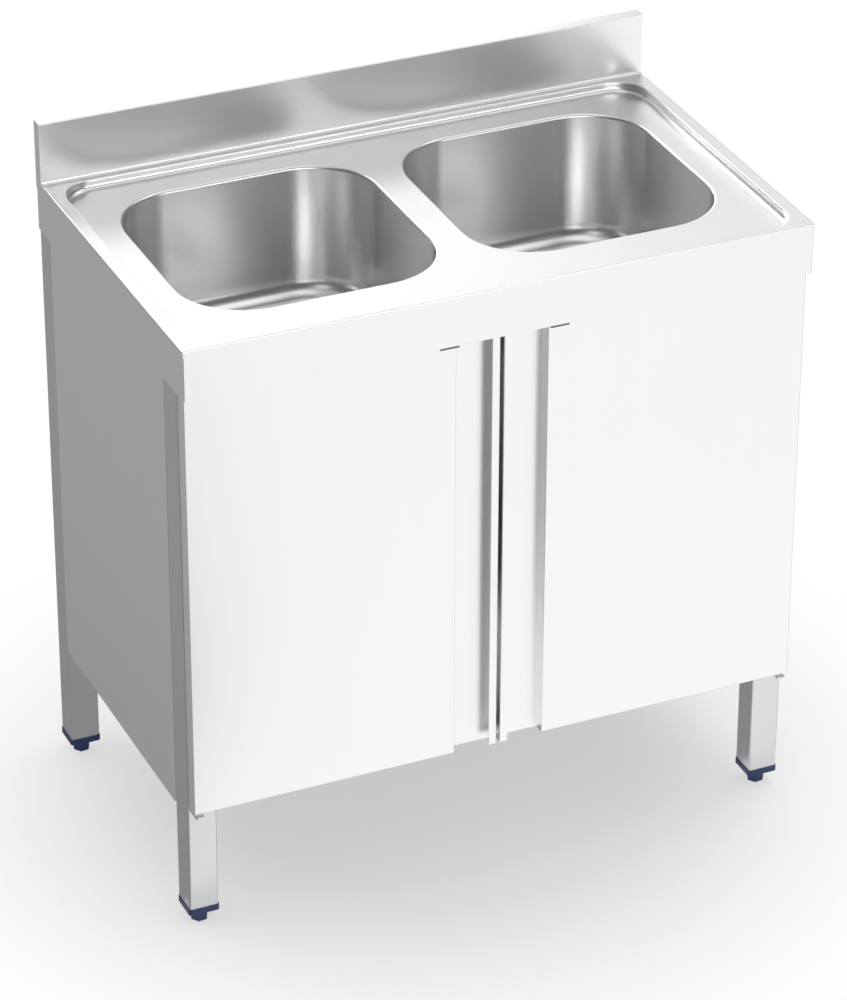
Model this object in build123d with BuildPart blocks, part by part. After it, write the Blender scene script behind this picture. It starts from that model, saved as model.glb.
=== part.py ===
from build123d import *
import os

# Stainless steel sink unit: pressed worktop with two bowls on a four-legged cabinet.
# Millimetres. X runs along the front, Y from front to back, Z up from the floor.
# The origin is on the floor, in the middle of the unit's footprint.

os.makedirs("parts", exist_ok=True)

# ---------------------------------------------------------------- driving dimensions

# overall
width = 850.0
depth = 510.0
worktop_height = 855.0  # top of the rim, with the feet screwed right in

# worktop, one folded and pressed sheet
worktop_sheet = 1.0
splash_height = 85.0
splash_thickness = 18.0
splash_foot_radius = 3.0
splash_top_radius = 1.5
apron_drop = 69.0
apron_return = 14.0
side_fold = 10.0
corner_return = 3.0  # how far the apron turns round each front corner
fold_radius = 1.5
fold_bridge = 2.0  # overlap of the side fold with the apron's corner
fold_edge = 0.6  # rounded edge along the foot of the side folds

# sunken pan
pan_depth = 12.0
pan_rim_side = 18.0
pan_rim_front = 6.0
pan_rim_rear = 10.0
pan_corner_radius = 44.0
pan_rim_radius = 2.0
pan_foot_radius = 4.0

# bowls, in the pan
bowl_side_margin = 43.25
bowl_front_margin = 82.5
bowl_rear_margin = 47.5
bowl_gap = 47.5
bowl_depth = 180.0
bowl_corner_radius = 90.0
bowl_foot_radius = 25.0
bowl_sheet = 1.0
lip_radius = 4.0
lip_drop = 6.0

# waste outlets
waste_recess_radius = 42.0
waste_recess_depth = 2.5
waste_hole_radius = 31.0
waste_flange_sheet = 2.0
waste_cup_radius = 29.5
waste_cup_depth = 15.0
waste_cup_sheet = 1.0
strainer_slot_count = 10
strainer_slot_length = 13.0
strainer_slot_width = 3.0
strainer_slot_ring = 18.0
gasket_thickness = 3.0
waste_collar_thickness = 4.0
waste_body_wall = 3.5
waste_body_depth = 32.0
waste_cone_height = 12.0
waste_tail_radius = 23.9
waste_tail_wall = 3.9
waste_tail_length = 30.0
waste_hub_radius = 6.0
waste_rib_width = 3.0
waste_rib_height = 8.0
waste_screw_radius = 3.0
waste_screw_head_radius = 6.5
waste_screw_head_height = 3.0
waste_screw_tip = 6.0

# legs and feet
leg_size = 40.0
leg_wall = 1.5
leg_corner_radius = 3.0
front_leg_setback = 31.5
cap_size = 42.0
cap_height = 9.0
cap_corner_radius = 4.0
cap_edge = 1.0
cap_plug_length = 22.0
cap_plug_wall = 4.0
cap_boss_radius = 9.0
foot_height = 19.0
foot_across_flats = 22.0
foot_taper = 3.0
foot_turn = 6.0  # turn of the hexagon, degrees
foot_sole_chamfer = 1.0
stem_radius = 5.0
stem_length = 58.0
stem_seat = 12.0  # depth of the stem inside the foot

# rails under the worktop
rail_height = 40.0
rail_width = 25.0
rail_sheet = 1.5
bend_radius = 2.0  # middle line of every folded strip
stiffener_width = 38.0
stiffener_crown = 22.0
stiffener_height = 25.0
stiffener_sheet = 1.5
stiffener_end_gap = 10.0

# cabinet panels
panel_sheet = 1.0
panel_bottom = 172.0
panel_flange = 14.0
panel_top_flange = 12.0
panel_top_gap = 0.2
panel_bend_radius = 1.5
service_width = 280.0
service_height = 170.0
service_corner_radius = 20.0
service_centre_height = 430.0
shelf_top = 200.0
shelf_sheet = 1.0
shelf_fold_radius = 1.5
shelf_gap = 0.5  # round the shelf, clear of the bends of the panels
shelf_front_setback = 1.0  # front fold behind the fronts of the legs
shelf_stiffener_height = 20.0

# doors
door_setback = 10.0
door_side_inset = 3.5
door_bottom = 187.0
door_top_gap = 3.0
door_gap = 5.0
door_sheet = 1.0
door_edge_radius = 1.5
grip_half_width = 62.0  # centre line to the edge of the front panel
grip_depth = 16.5
grip_lip = 10.5
inner_sheet = 0.8
inner_flange = 10.0

# pivot hinges
pivot_inset = 8.5  # from the door's outer side
pivot_setback = 9.0  # from the door's front
bracket_width = 11.0
bracket_thickness = 3.0
bracket_corner_radius = 1.5
upper_bracket_width = 19.0
upper_bracket_reach = 8.0
pin_radius = 3.0
pin_reach = 13.0  # length of the pin inside the door
pin_head_radius = 5.0
pin_head_height = 3.0
pin_tip = 0.8
bush_radius = 4.5
bush_length = 15.0
bush_collar_radius = 6.0
lower_collar = 5.0
upper_collar = 1.5

# catches and buffers
catch_length = 25.0
catch_width = 12.0
catch_plate = 2.0
catch_front = 0.5
catch_neck_length = 19.0
catch_neck_width = 6.0
catch_housing_height = 8.0
catch_edge = 0.8
strike_sheet = 0.6
strike_width = 10.0
buffer_radius = 4.0
buffer_offset = 30.0
buffer_height = 194.0

# clearances
fit = 0.2  # between folded sheets that slide together
slip = 0.05  # round a pin, a screw or a stem, on the radius

# ---------------------------------------------------------------- worked out from these

half_width = width / 2
front_y = -depth / 2
rear_y = depth / 2
rim_z = worktop_height
fold_z = rim_z - side_fold
apron_z = rim_z - apron_drop
splash_top = rim_z + splash_height
splash_front = rear_y - splash_thickness

pan_z = rim_z - pan_depth
pan_under = pan_z - worktop_sheet
pan_front = front_y + pan_rim_front
pan_rear = splash_front - pan_rim_rear
pan_width = width - 2 * pan_rim_side
pan_length = pan_rear - pan_front
pan_y = (pan_front + pan_rear) / 2

bowl_width = (pan_width - bowl_gap) / 2 - bowl_side_margin
bowl_length = pan_length - bowl_front_margin - bowl_rear_margin
bowl_x = (bowl_gap + bowl_width) / 2
bowl_y = pan_front + bowl_front_margin + bowl_length / 2
bowl_rim_z = pan_z - lip_drop
bowl_floor = pan_z - bowl_depth

panel_face = half_width - worktop_sheet
panel_inside = panel_face - panel_sheet
leg_x = panel_inside - leg_size / 2
leg_inside = leg_x - leg_size / 2
front_leg_face = front_y + front_leg_setback
front_leg_y = front_leg_face + leg_size / 2
rear_leg_face = rear_y - worktop_sheet
rear_leg_y = rear_leg_face - leg_size / 2
side_front = front_leg_face + leg_size
side_rear = rear_leg_face - leg_size
rail_under = pan_under - rail_height
leg_bottom = foot_height + cap_height

door_front = front_y + door_setback
door_top = apron_z - door_top_gap
door_side = half_width - door_side_inset
tray_back = door_front + grip_depth + door_sheet
pivot_x = door_side - pivot_inset
pivot_y = door_front + pivot_setback
bracket_top = door_bottom - lower_collar
catch_x = grip_half_width + catch_length / 2
catch_y = front_y + catch_front + catch_width / 2

waste_seat = bowl_floor - waste_recess_depth
gasket_top = waste_seat - bowl_sheet
collar_top = gasket_top - gasket_thickness
waste_body_bottom = collar_top - waste_body_depth
strainer_floor = waste_seat - waste_cup_depth

SIDES = {"left": -1, "right": 1}


def save(piece, label):
    """Name one finished piece and write it to its own file."""
    piece.label = label
    export_step(piece, f"parts/{label}.step")


def block(low, high, mode=Mode.ADD):
    """Box between two corners, in whichever order their coordinates come."""
    centre = tuple((a + b) / 2 for a, b in zip(low, high))
    size = [abs(b - a) for a, b in zip(low, high)]
    with Locations(centre):
        Box(*size, mode=mode)


# ---------------------------------------------------------------- worktop

# space under the folded sheet, with the pan and the two bowl lips left out of it
with BuildPart() as pan_underside:
    with BuildSketch(Plane.XY.offset(pan_under)):
        with Locations((0, pan_y)):
            RectangleRounded(
                pan_width + 2 * worktop_sheet,
                pan_length + 2 * worktop_sheet,
                pan_corner_radius + worktop_sheet,
            )
    extrude(amount=pan_depth + worktop_sheet)
    fillet(
        pan_underside.edges().group_by(Axis.Z)[0],
        radius=pan_foot_radius + worktop_sheet,
    )

with BuildPart() as worktop_void:
    with BuildSketch(Plane.YZ):
        with BuildLine():
            Polyline(
                (front_y + worktop_sheet, fold_z + fold_bridge),
                (front_y + worktop_sheet, rim_z - worktop_sheet),
                (splash_front + worktop_sheet, rim_z - worktop_sheet),
                (splash_front + worktop_sheet, splash_top - worktop_sheet),
                (rear_y - worktop_sheet, splash_top - worktop_sheet),
                (rear_y - worktop_sheet, fold_z + fold_bridge),
                close=True,
            )
        make_face()
    extrude(amount=half_width - worktop_sheet, both=True)
    with BuildSketch(Plane.XY.offset(apron_z)):
        Rectangle(width - 4 * worktop_sheet, depth - 2 * worktop_sheet)
    extrude(amount=fold_z + fold_bridge - apron_z)
    add(pan_underside.part, mode=Mode.SUBTRACT)
    with BuildSketch(Plane.XY.offset(bowl_rim_z)):
        with Locations((-bowl_x, bowl_y), (bowl_x, bowl_y)):
            RectangleRounded(
                bowl_width + 2 * worktop_sheet,
                bowl_length + 2 * worktop_sheet,
                bowl_corner_radius + worktop_sheet,
            )
    extrude(amount=lip_drop - worktop_sheet, mode=Mode.SUBTRACT)
    fillet(
        worktop_void.edges(Select.LAST).group_by(Axis.Z)[-1],
        radius=lip_radius - worktop_sheet,
    )

with BuildPart() as worktop:
    # deck with its front and side folds
    with BuildSketch(Plane.XY.offset(fold_z)):
        Rectangle(width, depth)
    extrude(amount=side_fold)
    fillet(worktop.edges().filter_by(Axis.Z).group_by(Axis.Y)[0], radius=fold_radius)
    fillet(
        worktop.edges()
        .group_by(Axis.Z)[-1]
        .filter_by_position(Axis.Y, front_y, rear_y, inclusive=(True, False)),
        radius=fold_radius,
    )
    fillet(worktop.edges().filter_by(Axis.Y).group_by(Axis.Z)[0], radius=fold_edge)
    # backsplash, rising from a rounded foot
    with BuildSketch(Plane.YZ):
        with Locations((splash_front, rim_z - fold_radius)):
            Rectangle(
                splash_thickness, splash_height + fold_radius, align=(Align.MIN, Align.MIN)
            )
    extrude(amount=half_width, both=True)
    fillet(worktop.edges().filter_by(Axis.X).group_by(Axis.Z)[-1], radius=splash_top_radius)
    with BuildSketch(Plane.YZ):
        with BuildLine():
            foot_centre = (splash_front - splash_foot_radius, rim_z + splash_foot_radius)
            foot_arc = CenterArc(foot_centre, splash_foot_radius, -90, 90)
            Polyline(foot_arc @ 1, (splash_front, rim_z), foot_arc @ 0)
        make_face()
    extrude(amount=half_width - fold_radius, both=True)
    # front apron and rear skirt
    with BuildSketch(Plane.XY.offset(apron_z)) as skirt:
        Rectangle(width - 2 * worktop_sheet, depth)
        fillet(skirt.vertices().group_by(Axis.Y)[0], radius=fold_radius)
    extrude(amount=fold_z + fold_bridge - apron_z)
    # sunken pan
    with BuildSketch(Plane.XY.offset(pan_z)):
        with Locations((0, pan_y)):
            RectangleRounded(pan_width, pan_length, pan_corner_radius)
    extrude(amount=pan_depth, mode=Mode.SUBTRACT)
    fillet(worktop.edges(Select.LAST).group_by(Axis.Z)[-1], radius=pan_rim_radius)
    fillet(
        worktop.edges().filter_by_position(Axis.Z, pan_z, pan_z),
        radius=pan_foot_radius,
    )
    # openings for the bowls, their edges drawn down into a lip
    with BuildSketch(Plane.XY.offset(apron_z)):
        with Locations((-bowl_x, bowl_y), (bowl_x, bowl_y)):
            RectangleRounded(bowl_width, bowl_length, bowl_corner_radius)
    extrude(amount=pan_z - apron_z, mode=Mode.SUBTRACT)
    fillet(worktop.edges(Select.LAST).group_by(Axis.Z)[-1], radius=lip_radius)
    # leave the sheet
    add(worktop_void.part, mode=Mode.SUBTRACT)
    # below the side folds the ends are open, apart from a short return at each corner
    for end in SIDES.values():
        block(
            (end * panel_inside, front_y + corner_return, apron_z),
            (end * panel_face, rear_y - corner_return, fold_z + fold_bridge),
            mode=Mode.SUBTRACT,
        )
    # return flange along the foot of the apron, slotted for the catches
    with BuildSketch(Plane.XY.offset(apron_z)):
        with Locations((0, front_y + worktop_sheet)):
            Rectangle(
                width - 4 * worktop_sheet,
                apron_return - worktop_sheet,
                align=(Align.CENTER, Align.MIN),
            )
        with Locations((-catch_x, catch_y), (catch_x, catch_y)):
            Rectangle(
                catch_neck_length + 2 * fit, catch_neck_width + 2 * fit, mode=Mode.SUBTRACT
            )
    extrude(amount=worktop_sheet)
    fillet(worktop.edges().group_by(Axis.Z)[0].group_by(Axis.Y)[0], radius=fold_radius)
save(worktop.part, "worktop")


# ---------------------------------------------------------------- bowls


def deep_drawn_bowl(side):
    """Bowl with vertical walls, a rounded foot and a recess for the waste flange."""
    centre = (side * bowl_x, bowl_y)
    with BuildPart() as cavity:
        with BuildSketch(Plane.XY.offset(bowl_floor)):
            with Locations(centre):
                RectangleRounded(bowl_width, bowl_length, bowl_corner_radius)
        extrude(amount=bowl_rim_z - bowl_floor)
        fillet(cavity.edges().group_by(Axis.Z)[0], radius=bowl_foot_radius)
        with BuildSketch(Plane.XY.offset(waste_seat)):
            with Locations(centre):
                Circle(waste_recess_radius)
        extrude(amount=waste_recess_depth)
        with BuildSketch(Plane.XY.offset(gasket_top)):
            with Locations(centre):
                Circle(waste_hole_radius)
        extrude(amount=bowl_sheet)
    with BuildPart() as bowl:
        with BuildSketch(Plane.XY.offset(bowl_floor - bowl_sheet)):
            with Locations(centre):
                RectangleRounded(
                    bowl_width + 2 * bowl_sheet,
                    bowl_length + 2 * bowl_sheet,
                    bowl_corner_radius + bowl_sheet,
                )
        extrude(amount=bowl_rim_z - bowl_floor + bowl_sheet)
        fillet(bowl.edges().group_by(Axis.Z)[0], radius=bowl_foot_radius + bowl_sheet)
        with BuildSketch(Plane.XY.offset(gasket_top)):
            with Locations(centre):
                Circle(waste_recess_radius + bowl_sheet)
        extrude(amount=waste_recess_depth)
        add(cavity.part, mode=Mode.SUBTRACT)
    return bowl.part


# ---------------------------------------------------------------- waste outlets


def strainer_flange(side):
    """Pressed flange and cup, with slots that radiate round the centre screw."""
    centre = Plane((side * bowl_x, bowl_y, 0))
    flange_top = waste_seat + waste_flange_sheet
    inner_cup = waste_cup_radius - waste_cup_sheet
    with BuildPart() as flange:
        with BuildSketch(centre.offset(waste_seat)):
            Circle(waste_recess_radius - fit)
            Circle(inner_cup, mode=Mode.SUBTRACT)
        extrude(amount=waste_flange_sheet)
        chamfer(
            flange.edges().group_by(Axis.Z)[-1].sort_by(SortBy.RADIUS)[0],
            length=waste_flange_sheet / 2,
        )
        with BuildSketch(centre.offset(strainer_floor)):
            Circle(waste_cup_radius)
            Circle(inner_cup, mode=Mode.SUBTRACT)
        extrude(amount=waste_cup_depth)
        with BuildSketch(centre.offset(strainer_floor)):
            Circle(inner_cup)
            Circle(waste_screw_radius + slip, mode=Mode.SUBTRACT)
            with PolarLocations(strainer_slot_ring, strainer_slot_count):
                SlotOverall(strainer_slot_length, strainer_slot_width, mode=Mode.SUBTRACT)
        extrude(amount=waste_cup_sheet)
    return flange.part


def waste_gasket(side):
    """Flat rubber ring squeezed between the bowl and the waste body."""
    with BuildPart() as gasket:
        with BuildSketch(Plane((side * bowl_x, bowl_y, collar_top))):
            Circle(waste_recess_radius + bowl_sheet)
            Circle(waste_hole_radius, mode=Mode.SUBTRACT)
        extrude(amount=gasket_thickness)
    return gasket.part


def waste_body(side):
    """Moulded cup under the bowl, narrowing to the threaded tail."""
    axis = Plane((side * bowl_x, bowl_y, 0))
    cup_outside = waste_hole_radius + waste_body_wall
    collar_under = collar_top - waste_collar_thickness
    cone_top = waste_body_bottom + waste_cone_height
    tail_inside = waste_tail_radius - waste_tail_wall
    tail_end = waste_body_bottom - waste_tail_length
    with BuildPart() as body:
        with BuildSketch(Plane.XZ):
            with BuildLine():
                Polyline(
                    (waste_hole_radius, collar_top),
                    (waste_recess_radius + bowl_sheet, collar_top),
                    (waste_recess_radius + bowl_sheet, collar_under),
                    (cup_outside, collar_under),
                    (cup_outside, cone_top),
                    (waste_tail_radius, waste_body_bottom),
                    (waste_tail_radius, tail_end),
                    (tail_inside, tail_end),
                    (tail_inside, waste_body_bottom),
                    (waste_hole_radius, cone_top),
                    close=True,
                )
            make_face()
        revolve(axis=Axis.Z)
        # hub for the screw, carried by four ribs
        with BuildSketch(Plane.XY.offset(cone_top)):
            Circle(waste_hub_radius)
            with PolarLocations(0, 2):
                Rectangle(2 * waste_hole_radius + waste_body_wall, waste_rib_width)
            Circle(waste_screw_radius + slip, mode=Mode.SUBTRACT)
        extrude(amount=waste_rib_height)
    return body.part.moved(Location(axis))


def waste_screw(side):
    """Countersunk screw that draws the strainer flange down to the hub."""
    head_top = strainer_floor + waste_cup_sheet + waste_screw_head_height
    tip = waste_body_bottom + waste_cone_height - waste_screw_tip
    with BuildPart() as screw:
        with BuildSketch(Plane((side * bowl_x, bowl_y, tip))):
            Circle(waste_screw_radius)
        extrude(amount=head_top - waste_screw_head_height - tip)
        with BuildSketch(Plane((side * bowl_x, bowl_y, head_top - waste_screw_head_height))):
            Circle(waste_screw_head_radius)
        extrude(amount=waste_screw_head_height)
        chamfer(screw.edges().group_by(Axis.Z)[-1], length=waste_screw_head_height / 3)
    return screw.part


for name, side in SIDES.items():
    save(deep_drawn_bowl(side), f"{name}_bowl")
    save(strainer_flange(side), f"{name}_strainer_flange")
    save(waste_gasket(side), f"{name}_waste_gasket")
    save(waste_body(side), f"{name}_waste_body")
    save(waste_screw(side), f"{name}_waste_screw")


# ---------------------------------------------------------------- legs, caps and feet


def leg_tube(x, y):
    """Square tube from the cap up to the underside of the pan."""
    with BuildPart() as tube:
        with BuildSketch(Plane((x, y, leg_bottom))):
            RectangleRounded(leg_size, leg_size, leg_corner_radius)
            RectangleRounded(
                leg_size - 2 * leg_wall,
                leg_size - 2 * leg_wall,
                leg_corner_radius - leg_wall,
                mode=Mode.SUBTRACT,
            )
        extrude(amount=pan_under - leg_bottom)
    return tube.part


def leg_cap(x, y):
    """Moulded cap with a plug that fills the tube's mouth and a boss for the stem."""
    plug_size = leg_size - 2 * leg_wall - 2 * slip
    with BuildPart() as cap:
        with BuildSketch(Plane((x, y, foot_height))):
            RectangleRounded(cap_size, cap_size, cap_corner_radius)
        extrude(amount=cap_height)
        chamfer(cap.edges().group_by(Axis.Z)[0], length=cap_edge)
        with BuildSketch(Plane((x, y, leg_bottom))):
            RectangleRounded(plug_size, plug_size, leg_corner_radius - leg_wall)
            Rectangle(
                plug_size - 2 * cap_plug_wall, plug_size - 2 * cap_plug_wall, mode=Mode.SUBTRACT
            )
            Circle(cap_boss_radius)
        extrude(amount=cap_plug_length)
        with BuildSketch(Plane((x, y, foot_height))):
            Circle(stem_radius + slip)
        extrude(amount=cap_height + cap_plug_length, mode=Mode.SUBTRACT)
    return cap.part


def hex_foot(x, y):
    """Hexagonal foot, slightly narrower at the sole, with a blind hole for the stem."""
    with BuildPart() as foot:
        with BuildSketch(Plane((x, y, foot_height))):
            RegularPolygon(foot_across_flats / 2, 6, major_radius=False, rotation=foot_turn)
        extrude(amount=-foot_height, taper=foot_taper)
        chamfer(foot.edges().group_by(Axis.Z)[0], length=foot_sole_chamfer)
        with BuildSketch(Plane((x, y, foot_height))):
            Circle(stem_radius)
        extrude(amount=-stem_seat, mode=Mode.SUBTRACT)
    return foot.part


def foot_stem(x, y):
    """Threaded stem, seated in the foot and screwed up through the cap."""
    with BuildPart() as stem:
        with BuildSketch(Plane((x, y, foot_height - stem_seat))):
            Circle(stem_radius)
        extrude(amount=stem_length)
        chamfer(stem.edges().group_by(Axis.Z)[-1], length=stem_radius / 5)
    return stem.part


for row, leg_y in {"front": front_leg_y, "rear": rear_leg_y}.items():
    for name, side in SIDES.items():
        save(leg_tube(side * leg_x, leg_y), f"{row}_{name}_leg")
        save(leg_cap(side * leg_x, leg_y), f"{row}_{name}_leg_cap")
        save(hex_foot(side * leg_x, leg_y), f"{row}_{name}_foot")
        save(foot_stem(side * leg_x, leg_y), f"{row}_{name}_foot_stem")


# ---------------------------------------------------------------- rails under the worktop


def folded_strip(section, path, sheet, length):
    """Strip of sheet folded along the given middle line, then run on by its length."""
    with BuildPart() as strip:
        with BuildSketch(section):
            with BuildLine():
                FilletPolyline(*path, radius=bend_radius)
            trace(line_width=sheet)
        extrude(amount=length)
    return strip.part


def top_rail(end, inward, along, length):
    """Channel with its web outwards, from one leg to the next under the pan."""
    middle = rail_sheet / 2
    path = [
        (rail_width, -middle),
        (middle, -middle),
        (middle, middle - rail_height),
        (rail_width, middle - rail_height),
    ]
    section = Plane(origin=end, x_dir=inward, z_dir=along)
    return folded_strip(section, path, rail_sheet, length)


def hat_section(section, over, crown, height, sheet, length):
    """Folded hat section whose crown hangs below the section's own X axis."""
    middle = sheet / 2
    path = [
        (-over / 2, -middle),
        (middle - crown / 2, -middle),
        (middle - crown / 2, middle - height),
        (crown / 2 - middle, middle - height),
        (crown / 2 - middle, -middle),
        (over / 2, -middle),
    ]
    return folded_strip(section, path, sheet, length)


front_rail_end = (-leg_inside, front_leg_face, pan_under)
rear_rail_end = (leg_inside, rear_leg_face, pan_under)
left_rail_end = (-panel_inside, side_rear, pan_under)
right_rail_end = (panel_inside, side_front, pan_under)
side_rail_length = side_rear - side_front
save(top_rail(front_rail_end, (0, 1, 0), (1, 0, 0), 2 * leg_inside), "front_top_rail")
save(top_rail(rear_rail_end, (0, -1, 0), (-1, 0, 0), 2 * leg_inside), "rear_top_rail")
save(top_rail(left_rail_end, (1, 0, 0), (0, -1, 0), side_rail_length), "left_top_rail")
save(top_rail(right_rail_end, (-1, 0, 0), (0, 1, 0), side_rail_length), "right_top_rail")

stiffener_front = front_leg_face + rail_width
stiffener_rear = pan_rear - stiffener_end_gap
save(
    hat_section(
        Plane(origin=(0, stiffener_rear, pan_under), x_dir=(1, 0, 0), z_dir=(0, -1, 0)),
        stiffener_width,
        stiffener_crown,
        stiffener_height,
        stiffener_sheet,
        stiffener_rear - stiffener_front,
    ),
    "centre_stiffener",
)


# ---------------------------------------------------------------- cabinet panels


def side_panel(side):
    """Panel between two legs, widening behind the worktop's fold, with inward flanges."""
    inside = side * panel_inside
    flange_edge = side * (panel_inside - panel_flange)
    band_top = rim_z - worktop_sheet - panel_top_gap
    front_edge = side_front + fit
    rear_edge = side_rear - fit
    with BuildPart() as panel:
        with BuildSketch(Plane.YZ.offset(inside)):
            with BuildLine():
                Polyline(
                    (front_edge, panel_bottom),
                    (front_edge, apron_z),
                    (front_y + corner_return, apron_z),
                    (front_y + corner_return, band_top),
                    (rear_y - corner_return, band_top),
                    (rear_y - corner_return, apron_z),
                    (rear_edge, apron_z),
                    (rear_edge, panel_bottom),
                    close=True,
                )
            make_face()
        extrude(amount=side * panel_sheet)
        block(
            (inside, front_edge, panel_bottom),
            (flange_edge, front_edge + panel_sheet, rail_under - fit),
        )
        block(
            (inside, rear_edge - panel_sheet, panel_bottom),
            (flange_edge, rear_edge, rail_under - fit),
        )
        block(
            (inside, front_edge, panel_bottom),
            (flange_edge, rear_edge, panel_bottom + panel_sheet),
        )
        block(
            (inside, front_y + corner_return, band_top - panel_sheet),
            (side * (panel_inside - panel_top_flange), rear_y - corner_return, band_top),
        )
        fillet(
            panel.edges()
            .filter_by(Axis.Z)
            .filter_by_position(Axis.X, side * panel_face, side * panel_face)
            .filter_by_position(Axis.Y, front_edge, rear_edge),
            radius=panel_bend_radius,
        )
    return panel.part


for name, side in SIDES.items():
    save(side_panel(side), f"{name}_side_panel")

with BuildPart() as back_panel:
    with BuildSketch(Plane.XZ.offset(-rear_leg_face)):
        with Locations((0, panel_bottom)):
            Rectangle(
                2 * (leg_inside - fit),
                rail_under - fit - panel_bottom,
                align=(Align.CENTER, Align.MIN),
            )
    extrude(amount=panel_flange + panel_sheet)
    fillet(back_panel.edges().group_by(Axis.Y)[-1], radius=panel_bend_radius)
    offset(amount=-panel_sheet, openings=back_panel.faces().sort_by(Axis.Y)[0])
    with BuildSketch(Plane.XZ.offset(-rear_leg_face)):
        with Locations((0, service_centre_height)):
            RectangleRounded(service_width, service_height, service_corner_radius)
    extrude(amount=panel_sheet, mode=Mode.SUBTRACT)
save(back_panel.part, "back_panel")

# shelf between the legs and the panels, folded down all round
shelf_half_width = leg_inside - fit - panel_sheet - shelf_gap
shelf_reach = panel_inside - shelf_gap
shelf_under = panel_bottom + panel_sheet
shelf_front = front_leg_face + shelf_front_setback
shelf_rear = rear_leg_face - panel_sheet - shelf_gap
with BuildPart() as bottom_shelf:
    block((-shelf_half_width, shelf_front, shelf_under), (shelf_half_width, shelf_rear, shelf_top))
    block(
        (-shelf_reach, side_front + fit + panel_sheet + shelf_gap, shelf_under),
        (shelf_reach, side_rear - fit - panel_sheet - shelf_gap, shelf_top),
    )
    fillet(bottom_shelf.edges().group_by(Axis.Z)[-1], radius=shelf_fold_radius)
    offset(amount=-shelf_sheet, openings=bottom_shelf.faces().sort_by(Axis.Z)[0])
save(bottom_shelf.part, "bottom_shelf")

shelf_stiffener_reach = shelf_reach - shelf_sheet - shelf_gap
save(
    hat_section(
        Plane(
            origin=(-shelf_stiffener_reach, (side_front + side_rear) / 2, shelf_top - shelf_sheet),
            x_dir=(0, 1, 0),
            z_dir=(1, 0, 0),
        ),
        stiffener_width,
        stiffener_crown,
        shelf_stiffener_height,
        shelf_sheet,
        2 * shelf_stiffener_reach,
    ),
    "shelf_stiffener",
)


# ---------------------------------------------------------------- doors


def door_outer_skin(side):
    """Folded tray whose inner side runs on into a J-shaped grip over the full height."""
    front_panel_edge = side * grip_half_width
    outer_side = side * door_side
    floor_middle = tray_back - door_sheet / 2
    lip_middle = door_front + door_sheet / 2
    web_middle = side * (door_gap + door_sheet) / 2
    with BuildPart() as skin:
        block(
            (front_panel_edge, door_front, door_bottom),
            (outer_side, tray_back, door_top),
        )
        fillet(skin.edges().group_by(Axis.Y)[0], radius=door_edge_radius)
        offset(amount=-door_sheet, openings=skin.faces().sort_by(Axis.Y)[-1])
        with BuildSketch(Plane.XY.offset(door_bottom)):
            with BuildLine():
                FilletPolyline(
                    (front_panel_edge + side * door_sheet, floor_middle),
                    (web_middle, floor_middle),
                    (web_middle, lip_middle),
                    (side * (door_gap / 2 + grip_lip), lip_middle),
                    radius=door_edge_radius - door_sheet / 2,
                )
            trace(line_width=door_sheet)
        extrude(amount=door_top - door_bottom)
        with BuildSketch(Plane.XY.offset(door_bottom)):
            with Locations((side * pivot_x, pivot_y)):
                Circle(bush_radius)
        extrude(amount=door_top - door_bottom, mode=Mode.SUBTRACT)
    return skin.part


def door_inner_skin(side):
    """Shallow tray nested in the outer skin, notched round the two bushes."""
    with BuildPart() as skin:
        block(
            (
                side * (grip_half_width + door_sheet),
                tray_back + inner_sheet - inner_flange,
                door_bottom + door_sheet,
            ),
            (side * (door_side - door_sheet), tray_back + inner_sheet, door_top - door_sheet),
        )
        fillet(skin.edges().group_by(Axis.Y)[-1], radius=door_edge_radius)
        offset(amount=-inner_sheet, openings=skin.faces().sort_by(Axis.Y)[0])
        with BuildSketch(Plane.XY.offset(door_bottom)):
            with Locations((side * pivot_x, pivot_y)):
                Circle(bush_radius + fit)
        extrude(amount=door_top - door_bottom, mode=Mode.SUBTRACT)
    return skin.part


def pivot_bush(side, seat, into_door, collar):
    """Plastic bush with a collar outside the door and a body inside it."""
    with BuildPart() as bush:
        with BuildSketch(Plane((side * pivot_x, pivot_y, seat))):
            Circle(bush_collar_radius)
        extrude(amount=-into_door * collar)
        with BuildSketch(Plane((side * pivot_x, pivot_y, seat))):
            Circle(bush_radius)
        extrude(amount=into_door * bush_length)
        with BuildSketch(Plane((side * pivot_x, pivot_y, seat - into_door * collar))):
            Circle(pin_radius + slip)
        extrude(amount=into_door * (collar + bush_length), mode=Mode.SUBTRACT)
    return bush.part


def strike_plate(side):
    """Thin plate on the door's top edge, under the catch."""
    with BuildPart() as strike:
        with BuildSketch(Plane((side * catch_x, catch_y, door_top))):
            RectangleRounded(catch_length, strike_width, strike_width / 10)
        extrude(amount=strike_sheet)
    return strike.part


for name, side in SIDES.items():
    save(door_outer_skin(side), f"{name}_door_outer_skin")
    save(door_inner_skin(side), f"{name}_door_inner_skin")
    save(pivot_bush(side, door_bottom, 1, lower_collar), f"{name}_door_lower_bush")
    save(pivot_bush(side, door_top, -1, upper_collar), f"{name}_door_upper_bush")
    save(strike_plate(side), f"{name}_door_strike_plate")


# ---------------------------------------------------------------- pivot hinges


def bracket(corner, size, pivot):
    """Flat bracket from its lower front corner, rounded in front, bored for the pin."""
    with BuildPart() as tab:
        with BuildSketch(Plane(corner)):
            Rectangle(size[0], size[1], align=(Align.CENTER, Align.MIN))
        extrude(amount=bracket_thickness)
        fillet(
            tab.edges().filter_by(Axis.Z).group_by(Axis.Y)[0], radius=bracket_corner_radius
        )
        with BuildSketch(Plane((pivot[0], pivot[1], corner[2]))):
            Circle(pin_radius + slip)
        extrude(amount=bracket_thickness, mode=Mode.SUBTRACT)
    return tab.part


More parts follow.
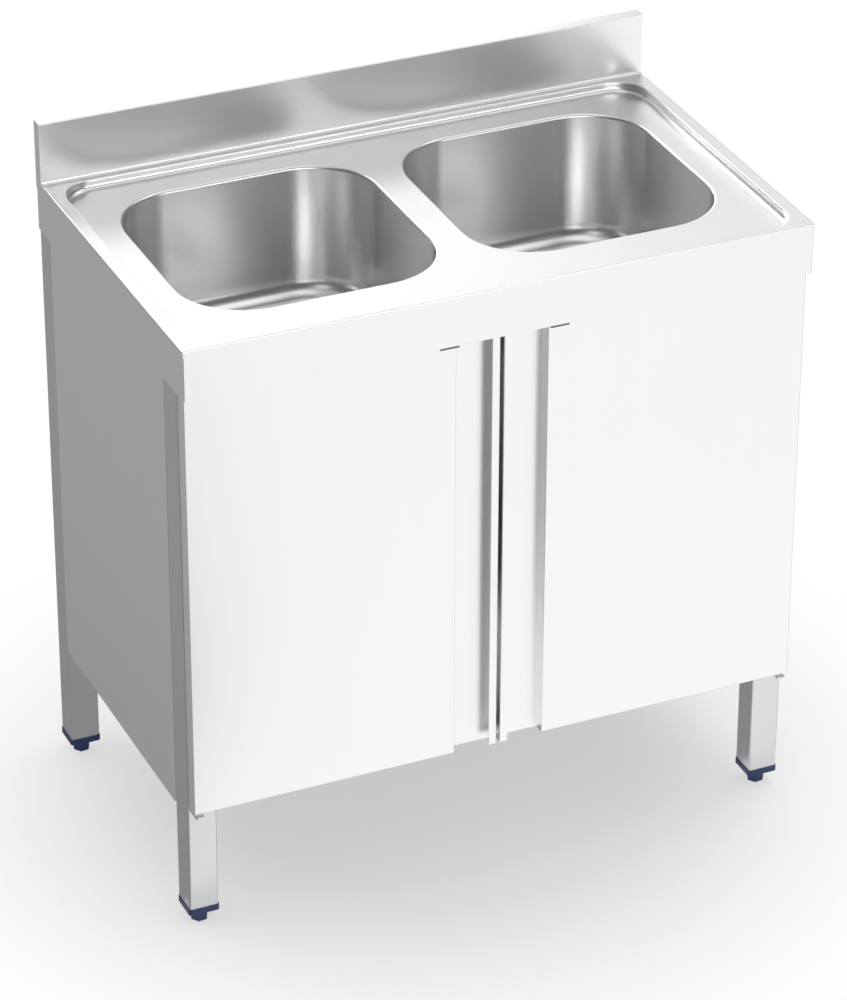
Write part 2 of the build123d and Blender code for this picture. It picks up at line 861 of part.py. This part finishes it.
def lower_pin(side):
    """Pin fixed in the lower bracket, pointed into the door."""
    with BuildPart() as pin:
        with BuildSketch(Plane((side * pivot_x, pivot_y, bracket_top - bracket_thickness))):
            Circle(pin_radius)
        extrude(amount=bracket_thickness + lower_collar + pin_reach)
        chamfer(pin.edges().group_by(Axis.Z)[-1], length=pin_tip)
    return pin.part


def upper_pin(side):
    """Headed pin dropped through the upper bracket into the door."""
    head_seat = apron_z + worktop_sheet + bracket_thickness
    with BuildPart() as pin:
        with BuildSketch(Plane((side * pivot_x, pivot_y, head_seat))):
            Circle(pin_radius)
        extrude(amount=-(head_seat - door_top + pin_reach))
        chamfer(pin.edges().group_by(Axis.Z)[0], length=pin_tip)
        with BuildSketch(Plane((side * pivot_x, pivot_y, head_seat))):
            Circle(pin_head_radius)
        extrude(amount=pin_head_height)
    return pin.part


for name, side in SIDES.items():
    pivot = (side * pivot_x, pivot_y)
    lower_corner = (pivot[0], door_front, bracket_top - bracket_thickness)
    lower_size = (bracket_width, front_leg_face - door_front)
    upper_corner = (pivot[0], front_y + worktop_sheet, apron_z + worktop_sheet)
    upper_size = (upper_bracket_width, pivot_y + upper_bracket_reach - upper_corner[1])
    save(bracket(lower_corner, lower_size, pivot), f"{name}_lower_hinge_bracket")
    save(bracket(upper_corner, upper_size, pivot), f"{name}_upper_hinge_bracket")
    save(lower_pin(side), f"{name}_lower_hinge_pin")
    save(upper_pin(side), f"{name}_upper_hinge_pin")


# ---------------------------------------------------------------- catches and buffers


def door_catch(side):
    """Catch body above the return flange, its plate hanging below through a slot."""
    with BuildPart() as catch:
        with BuildSketch(Plane((side * catch_x, catch_y, apron_z - catch_plate))):
            RectangleRounded(catch_length, catch_width, catch_width / 12)
        extrude(amount=catch_plate)
        with BuildSketch(Plane((side * catch_x, catch_y, apron_z))):
            Rectangle(catch_neck_length, catch_neck_width)
        extrude(amount=worktop_sheet)
        with BuildSketch(Plane((side * catch_x, catch_y + catch_front, apron_z + worktop_sheet))):
            Rectangle(catch_length, catch_width - catch_front)
        extrude(amount=catch_housing_height)
        chamfer(catch.edges().group_by(Axis.Z)[-1], length=catch_edge)
    return catch.part


for name, side in SIDES.items():
    save(door_catch(side), f"{name}_catch")

with BuildPart() as door_buffers:
    with BuildSketch(Plane.XZ.offset(-shelf_front)):
        with Locations((-buffer_offset, buffer_height), (buffer_offset, buffer_height)):
            Circle(buffer_radius)
    extrude(amount=shelf_front - tray_back - fit)
    chamfer(door_buffers.edges().group_by(Axis.Y)[0], length=catch_edge)
save(door_buffers.part, "door_buffers")
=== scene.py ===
import math

import bmesh
import bpy
from mathutils import Matrix, Vector


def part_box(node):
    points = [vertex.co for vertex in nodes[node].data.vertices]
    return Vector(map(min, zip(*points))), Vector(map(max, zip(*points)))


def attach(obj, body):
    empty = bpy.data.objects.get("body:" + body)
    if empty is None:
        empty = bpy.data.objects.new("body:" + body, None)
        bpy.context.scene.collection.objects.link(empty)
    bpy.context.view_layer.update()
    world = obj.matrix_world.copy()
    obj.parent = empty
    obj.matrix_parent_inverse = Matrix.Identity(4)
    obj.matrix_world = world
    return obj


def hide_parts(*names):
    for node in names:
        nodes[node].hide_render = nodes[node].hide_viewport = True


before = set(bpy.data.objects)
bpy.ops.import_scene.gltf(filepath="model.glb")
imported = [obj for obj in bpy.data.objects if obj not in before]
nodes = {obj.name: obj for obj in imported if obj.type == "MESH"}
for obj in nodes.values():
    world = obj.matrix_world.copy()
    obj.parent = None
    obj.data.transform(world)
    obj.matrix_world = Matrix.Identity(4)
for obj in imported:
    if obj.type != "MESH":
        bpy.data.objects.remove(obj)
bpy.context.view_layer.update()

# Stainless steel sink unit in metres, in the frame of the solids: X to the right
# along the front, Y from the doors to the backsplash, Z up from the floor.

scene = bpy.context.scene
SIDES = {"left": -1, "right": 1}
ROWS = ("front", "rear")


# ---------------------------------------------------------------- shader maths


class Value:
    """One output socket of a finish. Arithmetic on it adds Math nodes."""

    def __init__(self, finish, socket):
        self.finish = finish
        self.socket = socket

    def __add__(self, other):
        return self.finish.maths("ADD", self, other)

    def __radd__(self, other):
        return self.finish.maths("ADD", other, self)

    def __sub__(self, other):
        return self.finish.maths("SUBTRACT", self, other)

    def __rsub__(self, other):
        return self.finish.maths("SUBTRACT", other, self)

    def __mul__(self, other):
        return self.finish.maths("MULTIPLY", self, other)

    def __rmul__(self, other):
        return self.finish.maths("MULTIPLY", other, self)


class Finish:
    """The node tree of one material or of the world."""

    def __init__(self, owner):
        owner.use_nodes = True
        self.owner = owner
        self.tree = owner.node_tree
        self.tree.nodes.clear()

    def node(self, kind, settings=None, sockets=None, output=0):
        """Adds a node: first its settings, then the value or link of each socket."""
        node = self.tree.nodes.new(kind)
        for name, setting in (settings or {}).items():
            setattr(node, name, setting)
        for name, source in (sockets or {}).items():
            if isinstance(source, Value):
                self.tree.links.new(source.socket, node.inputs[name])
            else:
                node.inputs[name].default_value = source
        return Value(self, node.outputs[output]) if node.outputs else node

    def maths(self, operation, first, second):
        return self.node("ShaderNodeMath", {"operation": operation}, {0: first, 1: second})

    def place(self, scale=(1.0, 1.0, 1.0)):
        """Object coordinates, stretched by a scale along each axis."""
        at = self.node("ShaderNodeTexCoord", output="Object")
        return self.node("ShaderNodeMapping", sockets={"Vector": at, "Scale": scale})

    def noise(self, scale, stretch=(1.0, 1.0, 1.0), detail=2.0, roughness=0.5):
        return self.node(
            "ShaderNodeTexNoise",
            sockets={
                "Vector": self.place(stretch),
                "Scale": scale,
                "Detail": detail,
                "Roughness": roughness,
            },
        )

    def between(self, low, high, amount):
        """Colour between two colours."""
        return self.node(
            "ShaderNodeMix",
            {"data_type": "RGBA"},
            {0: amount, 6: (*low, 1.0), 7: (*high, 1.0)},
            output=2,
        )

    def bump(self, height, strength, distance):
        return self.node(
            "ShaderNodeBump",
            sockets={"Height": height, "Strength": strength, "Distance": distance},
        )

    def surface(self, **sockets):
        """Principled surface, its sockets named with underscores for spaces."""
        named = {name.replace("_", " "): source for name, source in sockets.items()}
        shader = self.node("ShaderNodeBsdfPrincipled", sockets=named)
        self.node("ShaderNodeOutputMaterial", sockets={"Surface": shader})
        return self.owner


def new_finish(name):
    return Finish(bpy.data.materials.new(name))


# ---------------------------------------------------------------- finishes

EVEN = (1.0, 1.0, 1.0)
ALONG_X = (0.02, 1.0, 1.0)
ALONG_Z = (1.0, 1.0, 0.02)

PALE = (0.93, 0.93, 0.933)
PALE_SHADE = (0.885, 0.885, 0.89)
BOWL_TONE = (0.925, 0.925, 0.927)
BOWL_SHADE = (0.88, 0.88, 0.883)
FRAME_TONE = (0.735, 0.748, 0.756)
FRAME_SHADE = (0.655, 0.667, 0.676)

TAIL_PITCH = 0.0021  # of the thread round a waste's tail
TAIL_THREAD = 0.022  # height of that thread above the tail's foot


def brushed_steel(name, tone, shade, gloss, grain, streaks=0.02, marks=0.04, relief=0.04):
    """Satin stainless steel with hairlines along one axis and faint handling marks."""
    steel = new_finish(name)
    hairline = steel.noise(900.0, grain, detail=3.0, roughness=0.6)
    band = steel.noise(60.0, grain)
    cloud = steel.noise(4.5, detail=3.0)
    smudge = steel.noise(23.0, detail=4.0, roughness=0.65)
    rough = gloss + streaks * (hairline - 0.5) + marks * (0.7 * cloud + 0.3 * smudge - 0.5)
    return steel.surface(
        Base_Color=steel.between(shade, tone, 0.55 * cloud + 0.25 * band + 0.2 * hairline),
        Metallic=1.0,
        Roughness=rough,
        Normal=steel.bump(hairline, relief, distance=0.00002),
    )


def zinc_plate():
    """Bright zinc plating, slightly cloudy and warmer where it has worn."""
    zinc = new_finish("zinc_plated_steel")
    cloud = zinc.noise(240.0, detail=4.0)
    return zinc.surface(
        Base_Color=zinc.between((0.70, 0.70, 0.69), (0.84, 0.85, 0.86), cloud),
        Metallic=1.0,
        Roughness=0.28 + 0.16 * cloud,
        Normal=zinc.bump(cloud, strength=0.15, distance=0.0001),
    )


def scuffed(plastic):
    """Pattern of the scuffs on a plastic's high spots."""
    return plastic.noise(130.0, detail=4.0, roughness=0.7)


def moulded_plastic(name, tone, shade, gloss, grain_size):
    """Moulded plastic with a fine spark-eroded grain and scuffed high spots."""
    plastic = new_finish(name)
    grain = plastic.noise(grain_size)
    scuff = scuffed(plastic)
    return plastic.surface(
        Base_Color=plastic.between(shade, tone, 0.7 * scuff + 0.3 * grain),
        Roughness=gloss + 0.12 * (grain - 0.5) + 0.10 * (scuff - 0.5),
        Normal=plastic.bump(grain, strength=0.25, distance=0.00012),
    )


def black_rubber():
    """Matt rubber, dusty in the hollows."""
    rubber = new_finish("black_rubber")
    dust = rubber.noise(90.0, detail=4.0, roughness=0.6)
    return rubber.surface(
        Base_Color=rubber.between((0.012, 0.012, 0.013), (0.05, 0.05, 0.05), dust),
        Roughness=0.72 + 0.15 * (dust - 0.5),
        Normal=rubber.bump(dust, strength=0.2, distance=0.0002),
    )


def waste_plastic():
    """Black plastic, threaded round the tail where the trap's nut goes."""
    plastic = new_finish("black_plastic")
    tail_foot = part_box("left_waste_body")[0][2]
    at = plastic.node("ShaderNodeTexCoord", output="Object")
    height = plastic.node("ShaderNodeSeparateXYZ", sockets={0: at}, output=2)
    turns = plastic.maths("SINE", height * (math.tau / TAIL_PITCH), 0.0)
    threaded = plastic.maths("LESS_THAN", height, tail_foot + TAIL_THREAD)
    grain = plastic.noise(900.0)
    scuff = scuffed(plastic)
    return plastic.surface(
        Base_Color=plastic.between((0.025, 0.025, 0.027), (0.05, 0.05, 0.052), scuff),
        Roughness=0.38 + 0.12 * (grain - 0.5) + 0.10 * (scuff - 0.5),
        Normal=plastic.bump(threaded * turns + 0.06 * grain, strength=0.5, distance=0.0005),
    )


def weld_bead_steel():
    """Weld metal with straw and brown heat tint in patches."""
    weld = new_finish("weld_bead_steel")
    tint = weld.noise(320.0, detail=3.0)
    fine = weld.noise(1400.0)
    return weld.surface(
        Base_Color=weld.between((0.42, 0.33, 0.24), (0.72, 0.71, 0.69), tint),
        Metallic=1.0,
        Roughness=0.34 + 0.14 * (fine - 0.5),
        Normal=weld.bump(fine, strength=0.2, distance=0.0001),
    )


worktop_steel = brushed_steel("worktop_brushed_steel", PALE, PALE_SHADE, 0.29, ALONG_X)
bowl_steel = brushed_steel(
    "bowl_satin_steel",
    BOWL_TONE,
    BOWL_SHADE,
    gloss=0.28,
    grain=EVEN,
    streaks=0.005,
    marks=0.004,
    relief=0.01,
)
panel_steel = brushed_steel("panel_brushed_steel", PALE, PALE_SHADE, 0.30, ALONG_Z)
shelf_steel = brushed_steel("shelf_brushed_steel", PALE, PALE_SHADE, 0.32, ALONG_X)
leg_steel = brushed_steel("leg_brushed_steel", FRAME_TONE, FRAME_SHADE, 0.30, ALONG_Z)
rail_steel = brushed_steel("rail_brushed_steel", FRAME_TONE, FRAME_SHADE, 0.36, ALONG_X)
strainer_steel = brushed_steel("strainer_polished_steel", PALE, PALE_SHADE, 0.16, ALONG_X)
fixing_zinc = zinc_plate()
rubber = black_rubber()
navy = moulded_plastic(
    "navy_plastic", (0.022, 0.046, 0.165), (0.012, 0.026, 0.105), gloss=0.42, grain_size=1500.0
)
nylon = moulded_plastic(
    "natural_nylon", (0.80, 0.80, 0.78), (0.70, 0.70, 0.68), gloss=0.45, grain_size=1200.0
)
catch_grey = moulded_plastic(
    "grey_plastic", (0.20, 0.20, 0.21), (0.13, 0.13, 0.14), gloss=0.50, grain_size=1300.0
)
waste_black = waste_plastic()
weld_steel = weld_bead_steel()


def dress(finish, *names):
    for name in names:
        for slot in nodes[name].material_slots:
            slot.material = finish


dress(worktop_steel, "worktop")
dress(panel_steel, "back_panel")
dress(rail_steel, "front_top_rail", "rear_top_rail", "centre_stiffener", "shelf_stiffener")
dress(rail_steel, "left_top_rail", "right_top_rail")
dress(rubber, "door_buffers")
for side in SIDES:
    dress(bowl_steel, f"{side}_bowl")
    dress(panel_steel, f"{side}_side_panel")
    dress(panel_steel, f"{side}_door_outer_skin", f"{side}_door_inner_skin")
    dress(fixing_zinc, f"{side}_lower_hinge_bracket", f"{side}_upper_hinge_bracket")
    dress(fixing_zinc, f"{side}_lower_hinge_pin", f"{side}_upper_hinge_pin")
    dress(nylon, f"{side}_door_lower_bush", f"{side}_door_upper_bush")
    dress(fixing_zinc, f"{side}_door_strike_plate", f"{side}_waste_screw")
    dress(catch_grey, f"{side}_catch")
    dress(strainer_steel, f"{side}_strainer_flange")
    dress(waste_black, f"{side}_waste_body")
    dress(rubber, f"{side}_waste_gasket")
    for row in ROWS:
        dress(leg_steel, f"{row}_{side}_leg")
        dress(navy, f"{row}_{side}_leg_cap", f"{row}_{side}_foot")
        dress(fixing_zinc, f"{row}_{side}_foot_stem")


# ---------------------------------------------------------------- shading of folds

SHARP_EDGE = math.radians(32.0)
FLAT_WITHIN = math.radians(0.3)
SAME_POINT = 1e-5


def part_at_sharp_edges(piece):
    split = piece.modifiers.new("split", "EDGE_SPLIT")
    split.split_angle = SHARP_EDGE


def even_shading(*names):
    """Flat faces shade flat and folds shade round, without ripples between them."""
    for name in names:
        weld = nodes[name].modifiers.new("weld", "WELD")
        weld.merge_threshold = SAME_POINT
        whole = nodes[name].modifiers.new("whole", "DECIMATE")
        whole.decimate_type = "DISSOLVE"
        whole.angle_limit = FLAT_WITHIN
        part_at_sharp_edges(nodes[name])
        even = nodes[name].modifiers.new("even", "WEIGHTED_NORMAL")
        even.weight = 50


even_shading("worktop", "left_bowl", "right_bowl", "back_panel")


# ---------------------------------------------------------------- pieces made here

SHEET = 0.001
FIT = 0.0002  # play round a leg
SHELF_GAP = 0.0015  # from that play to the shelf
SHELF_FOLD = 0.0015  # radius outside the fold
FRONT_FOLD = 0.0135  # height of the front fold, which stops above the doors' foot

THREAD_PITCH = 0.0015
THREAD_ROOT = 0.0041
THREAD_CREST = (0.42, 0.58)  # where the crest starts and ends, in pitches
THREAD_STEPS = 24  # round one turn

BRACKET_BEAD = 0.0012  # radius of a weld between a hinge bracket and its leg
RAIL_BEAD = 0.0014  # radius of a weld between the end of a top rail and its leg
RIPPLE = 0.0009  # from the crest of a ripple to the hollow after it
RIPPLE_HOLLOW = 0.82  # size of a hollow, with the crest as 1
BEAD_END = 0.5  # size of a bead's two ends


def new_piece(name, work, finish, body):
    """Object from a finished bmesh, riding on a body."""
    bmesh.ops.recalc_face_normals(work, faces=work.faces)
    for face in work.faces:
        face.smooth = True
    mesh = bpy.data.meshes.new(name)
    work.to_mesh(mesh)
    work.free()
    mesh.materials.append(finish)
    piece = bpy.data.objects.new(name, mesh)
    scene.collection.objects.link(piece)
    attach(piece, body)
    part_at_sharp_edges(piece)
    return piece


def draw_out(work, edges, step):
    """Draws edges out into a wall and returns the points and edges at its end."""
    grown = bmesh.ops.extrude_edge_only(work, edges=edges)["geom"]
    points = [part for part in grown if isinstance(part, bmesh.types.BMVert)]
    ends = [part for part in grown if isinstance(part, bmesh.types.BMEdge)]
    bmesh.ops.translate(work, vec=step, verts=points)
    return points, ends


def folded_shelf():
    """Shelf notched round the legs and folded down all round, with a shallow front fold."""
    low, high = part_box("bottom_shelf")
    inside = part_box("front_right_leg")[0][0] - FIT - SHELF_GAP
    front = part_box("front_right_leg")[1][1] + FIT + SHELF_GAP
    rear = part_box("rear_right_leg")[0][1] - FIT - SHELF_GAP
    top = high[2]
    work = bmesh.new()
    outline = [
        (inside, low[1]),
        (inside, front),
        (high[0], front),
        (high[0], rear),
        (inside, rear),
        (inside, high[1]),
        (-inside, high[1]),
        (-inside, rear),
        (low[0], rear),
        (low[0], front),
        (-inside, front),
        (-inside, low[1]),
    ]
    work.faces.new([work.verts.new((x, y, top)) for x, y in outline])
    points, _ = draw_out(work, work.edges[:], (0.0, 0.0, low[2] - top))
    foot = [point for point in points if abs(point.co.y - low[1]) < SAME_POINT]
    bmesh.ops.translate(work, vec=(0.0, 0.0, top - FRONT_FOLD - low[2]), verts=foot)
    rim = [
        edge for edge in work.edges if all(abs(end.co.z - top) < SAME_POINT for end in edge.verts)
    ]
    bmesh.ops.bevel(
        work,
        geom=rim,
        offset=SHELF_FOLD,
        affect="EDGES",
        segments=4,
        profile=0.5,
        material=-1,
    )
    bmesh.ops.recalc_face_normals(work, faces=work.faces)
    bmesh.ops.solidify(work, geom=work.faces[:], thickness=SHEET)
    shelf = new_piece("folded_bottom_shelf", work, shelf_steel, "cabinet")
    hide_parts("bottom_shelf")


def threaded_stem(row, side):
    """Levelling stem with a rolled thread over its whole length."""
    low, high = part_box(f"{row}_{side}_foot_stem")
    x, y = (low[0] + high[0]) / 2, (low[1] + high[1]) / 2
    crest = (high[0] - low[0]) / 2
    start = low[2] - 2 * THREAD_PITCH
    turns = math.ceil((high[2] - low[2]) / THREAD_PITCH) + 3
    profile = [
        (THREAD_ROOT, 0.0),
        (crest, THREAD_CREST[0]),
        (crest, THREAD_CREST[1]),
        (THREAD_ROOT, 1.0),
    ]
    work = bmesh.new()
    points = [work.verts.new((x + out, y, start + up * THREAD_PITCH)) for out, up in profile]
    edges = [work.edges.new(pair) for pair in zip(points, points[1:])]
    bmesh.ops.spin(
        work,
        geom=points + edges,
        cent=(x, y, 0.0),
        axis=(0.0, 0.0, 1.0),
        dvec=(0.0, 0.0, THREAD_PITCH / THREAD_STEPS),
        angle=math.tau * turns,
        steps=THREAD_STEPS * turns,
    )
    bmesh.ops.remove_doubles(work, verts=work.verts, dist=1e-6)
    for height, way in ((low[2], -1.0), (high[2], 1.0)):
        bmesh.ops.bisect_plane(
            work,
            geom=work.verts[:] + work.edges[:] + work.faces[:],
            dist=1e-7,
            plane_co=(0.0, 0.0, height),
            plane_no=(0.0, 0.0, way),
            clear_outer=True,
        )
    ends = [edge for edge in work.edges if edge.is_boundary]
    bmesh.ops.holes_fill(work, edges=ends)
    body = f"{row}_{side}_levelling_foot"
    stem = new_piece(f"{row}_{side}_threaded_stem", work, fixing_zinc, body)
    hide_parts(f"{row}_{side}_foot_stem")


def weld_bead(work, start, end, radius):
    """Rippled bead along a joint, its ends drawn in."""
    start, end = Vector(start), Vector(end)
    steps = 2 * round((end - start).length / RIPPLE / 2)
    step = (end - start) / steps
    facing = step.to_track_quat("Z", "Y").to_matrix().to_4x4()
    ring = bmesh.ops.create_circle(
        work,
        cap_ends=True,
        segments=12,
        radius=BEAD_END * radius,
        matrix=Matrix.Translation(start) @ facing,
    )
    edges = list({edge for point in ring["verts"] for edge in point.link_edges})
    size = BEAD_END
    for number in range(1, steps + 1):
        points, edges = draw_out(work, edges, step)
        wanted = 1.0 if number % 2 else RIPPLE_HOLLOW
        if number == steps:
            wanted = BEAD_END
        bmesh.ops.scale(
            work,
            vec=[wanted / size] * 3,
            space=Matrix.Translation(-(start + number * step)),
            verts=points,
        )
        size = wanted
    bmesh.ops.edgeloop_fill(work, edges=edges)


def frame_welds():
    """Beads where the lower hinge brackets and the feet of the top rails meet the legs."""
    work = bmesh.new()
    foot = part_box("front_top_rail")[0][2]
    for side, way in SIDES.items():
        low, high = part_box(f"{side}_lower_hinge_bracket")
        for height in (low[2], high[2]):
            weld_bead(
                work, (low[0], high[1], height), (high[0], high[1], height), BRACKET_BEAD
            )
        for row in ROWS:
            leg_low, leg_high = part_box(f"{row}_{side}_leg")
            low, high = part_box(f"{row}_top_rail")
            inner = leg_low[0] if way > 0 else leg_high[0]
            weld_bead(work, (inner, low[1], foot), (inner, high[1], foot), RAIL_BEAD)
            low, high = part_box(f"{side}_top_rail")
            face = leg_high[1] if row == "front" else leg_low[1]
            weld_bead(work, (low[0], face, foot), (high[0], face, foot), RAIL_BEAD)
    new_piece("frame_weld_beads", work, weld_steel, "cabinet")


folded_shelf()
for row in ROWS:
    for side in SIDES:
        threaded_stem(row, side)
frame_welds()


# ---------------------------------------------------------------- floor, light and camera

FLOOR_SHARE = 0.38  # share of plain white in the floor under the unit
FLOOR_FADE = (0.25, 0.8)  # distances between which the floor turns plain white
FLOOR_REACH = 15.0
FLOOR_CARD_LIFT = 0.001
SKY_LIGHT = 0.67

PAN_HEIGHT = 0.85
WALL_CARDS = 12
WALL_DISTANCE = 4.8
WALL_GREY = 0.10
WALL_TOP = 62
PANEL_DISTANCE = 4.5

# Turns in degrees to the right of straight in front, rises in degrees above the
# worktop, and the panel's glow.
LIGHT_PANELS = {
    "front_low_panel": ((-30, 30), (0, 19), 3.4),
    "back_low_left_panel": ((174, 190), (0, 20), 4.8),
    "back_low_right_panel": ((152, 180), (0, 20), 2.2),
    "back_left_panel": ((184, 200), (26, 46), 6.2),
    "back_right_panel": ((137, 184), (20, 40), 1.12),
    "left_back_panel": ((212, 240), (20, 40), 0.45),
    "high_left_panel": ((-60, -30), (40, WALL_TOP), 0.9),
    "high_right_panel": ((60, 90), (40, WALL_TOP), 3.6),
}

CEILING_CARD = [(-5, -5), (5, -5), (5, 5), (-5, 5)]
CEILING_HEIGHT = 9.3
# Dark card on the floor under the unit and to its left that only reflections show: painted shade
# of the floor round the unit.
FLOOR_SHADE_CARD = [
    (0.44, -0.16),
    (0.44, 0.5),
    (-0.4, 2.4),
    (-3.0, 2.4),
    (-3.0, -2.4),
    (-0.12, -2.4),
    (-0.20, -0.90),
    (-0.42, -0.50),
    (-0.45, -0.33),
    (-0.44, -0.16),
]
RIGHT_CARD = [(0.5, -0.2), (3.0, -0.6), (3.0, 2.0), (0.5, 2.0)]
# Glowing card on the floor in front of the unit that only reflections show: painted light on that
# floor, brighter than the floor itself.
FLOOR_LIGHT_CARD = [(-0.42, -0.30), (0.7, -0.30), (1.4, -1.4), (0.0, -1.4)]
# Glowing card round the place of the overhead softbox that only reflections show: painted
# reflection of that lamp, which reflections don't show.
SOFTBOX_REFLECTION_CARD = [(-0.3, -0.7), (2.1, -0.7), (2.1, 1.7), (-0.3, 1.7)]
OVERHEAD_HEIGHT = 3.2

CAMERA_AT = (-2.1308, -4.7996, 3.4481)
CAMERA_TURN = math.radians(23.967)
CAMERA_TILT = math.radians(29.972)
CAMERA_ROLL = math.radians(0.110)
FOCAL_PIXELS = 4627.3
IMAGE_LONG_SIDE = 1000


def backdrop_share(finish, share):
    """Share of plain white that camera, mirrored and transmitted rays see."""
    seen = finish.node("ShaderNodeLightPath", output="Is Camera Ray")
    mirrored = finish.node("ShaderNodeLightPath", output="Is Glossy Ray")
    through = finish.node("ShaderNodeLightPath", output="Is Transmission Ray")
    return share * (seen + mirrored + through)


def white(finish, strength=1.0):
    return finish.node(
        "ShaderNodeEmission", sockets={"Color": (1.0, 1.0, 1.0, 1.0), "Strength": strength}
    )


def stage_sheet(name, points, finish):
    """Flat sheet of the studio from its corner points."""
    mesh = bpy.data.meshes.new(name)
    work = bmesh.new()
    work.faces.new([work.verts.new(point) for point in points])
    work.to_mesh(mesh)
    work.free()
    mesh.materials.append(finish.owner)
    sheet = bpy.data.objects.new(name, mesh)
    scene.collection.objects.link(sheet)
    return sheet


def level(corners, height):
    """Corner points of a level sheet at one height."""
    return [(x, y, height) for x, y in corners]


def upright(start, end, foot, top):
    """Corner points of an upright rectangle between two places on the floor."""
    return [(*start, foot), (*end, foot), (*end, top), (*start, top)]


def studio_floor():
    """White floor that keeps the unit's shadow and fades to plain white further out."""
    paint = new_finish("white_floor")
    at = paint.node("ShaderNodeTexCoord", output="Object")
    out = paint.node("ShaderNodeVectorMath", {"operation": "LENGTH"}, {0: at}, output="Value")
    share = paint.node(
        "ShaderNodeMapRange",
        {"interpolation_type": "SMOOTHSTEP"},
        {
            "Value": out,
            "From Min": FLOOR_FADE[0],
            "From Max": FLOOR_FADE[1],
            "To Min": FLOOR_SHARE,
            "To Max": 1.0,
        },
    )
    lit = paint.node("ShaderNodeBsdfDiffuse", sockets={"Color": (0.92, 0.92, 0.92, 1.0)})
    mixed = paint.node(
        "ShaderNodeMixShader", sockets={0: backdrop_share(paint, share), 1: lit, 2: white(paint)}
    )
    paint.node("ShaderNodeOutputMaterial", sockets={"Surface": mixed})
    reach = FLOOR_REACH
    corners = [(-reach, -reach), (reach, -reach), (reach, reach), (-reach, reach)]
    stage_sheet("studio_floor", level(corners, 0.0), paint)


def studio_sky():
    """White all round for the camera and in reflections, softer as a light."""
    world = bpy.data.worlds.new("studio_sky")
    scene.world = world
    sky = Finish(world)
    strength = SKY_LIGHT + backdrop_share(sky, 1.0 - SKY_LIGHT)
    light = sky.node(
        "ShaderNodeBackground", sockets={"Color": (1.0, 1.0, 1.0, 1.0), "Strength": strength}
    )
    sky.node("ShaderNodeOutputWorld", sockets={"Surface": light})


def grey_card(name, points, grey):
    """Card or panel of the studio that only reflections show."""
    paint = new_finish(name)
    paint.node("ShaderNodeOutputMaterial", sockets={"Surface": white(paint, grey)})
    card = stage_sheet(name, points, paint)
    card.visible_camera = False
    card.visible_diffuse = False
    card.visible_shadow = False


def studio_point(turn, rise, distance):
    """Place in degrees to the right of straight in front and above the worktop."""
    x = distance * math.sin(math.radians(turn))
    y = -distance * math.cos(math.radians(turn))
    return x, y, PAN_HEIGHT + distance * math.tan(math.radians(rise))


def standing_card(name, turns, rises, grey, distance):
    """Upright card seen from the worktop between two turns and between two rises."""
    (start, end), (foot, top) = turns, rises
    corners = [(start, foot), (end, foot), (end, top), (start, top)]
    grey_card(name, [studio_point(turn, rise, distance) for turn, rise in corners], grey)


def softbox(name, at, aim, size, power):
    """Lamp over the unit that reflections don't show."""
    lamp = bpy.data.lights.new(name, "AREA")
    lamp.shape = "RECTANGLE"
    lamp.size, lamp.size_y = size
    lamp.energy = power
    box = bpy.data.objects.new(name, lamp)
    box.location = at
    box.rotation_euler = (Vector(aim) - Vector(at)).to_track_quat("-Z", "Y").to_euler()
    box.visible_glossy = False
    scene.collection.objects.link(box)


studio_floor()
studio_sky()
for number in range(WALL_CARDS):
    width = 360 // WALL_CARDS
    turns = (width * number, width * number + width)
    name = f"dark_wall_card_{number + 1}"
    standing_card(name, turns, (0, WALL_TOP), WALL_GREY, WALL_DISTANCE)
for name, (turns, rises, glow) in LIGHT_PANELS.items():
    standing_card(name, turns, rises, glow, PANEL_DISTANCE)
grey_card("ceiling_card", level(CEILING_CARD, CEILING_HEIGHT), 0.4)
grey_card("side_card", upright((-0.70, -0.1), (-0.70, 2.4), 0.0, 0.78), 0.37)
# painted shade of the floor under and beside the unit, seen only in reflections
grey_card("painted_floor_shade_card", level(FLOOR_SHADE_CARD, FLOOR_CARD_LIFT), 0.32)
grey_card("right_card", level(RIGHT_CARD, FLOOR_CARD_LIFT), 0.25)
# painted light on the floor in front, seen only in reflections
grey_card("painted_floor_light_card", level(FLOOR_LIGHT_CARD, 2 * FLOOR_CARD_LIFT), 1.03)
# painted reflection of the overhead softbox, seen only in reflections
grey_card("painted_softbox_reflection_card", level(SOFTBOX_REFLECTION_CARD, OVERHEAD_HEIGHT), 1.1)
softbox(
    "overhead_softbox",
    at=(0.9, 0.5, OVERHEAD_HEIGHT),
    aim=(0.0, 0.0, 0.5),
    size=(1.6, 1.6),
    power=18.0,
)

lens = bpy.data.cameras.new("camera")
lens.sensor_width = 36.0
lens.lens = FOCAL_PIXELS / IMAGE_LONG_SIDE * lens.sensor_width
lens.clip_end = 100.0
camera = bpy.data.objects.new("camera", lens)
turn = Matrix.Rotation(-CAMERA_TURN, 4, "Z") @ Matrix.Rotation(math.pi / 2 - CAMERA_TILT, 4, "X")
camera.matrix_world = (
    Matrix.Translation(CAMERA_AT) @ turn @ Matrix.Rotation(CAMERA_ROLL, 4, "Z")
)
scene.collection.objects.link(camera)
scene.camera = camera

scene.view_settings.view_transform = "Standard"
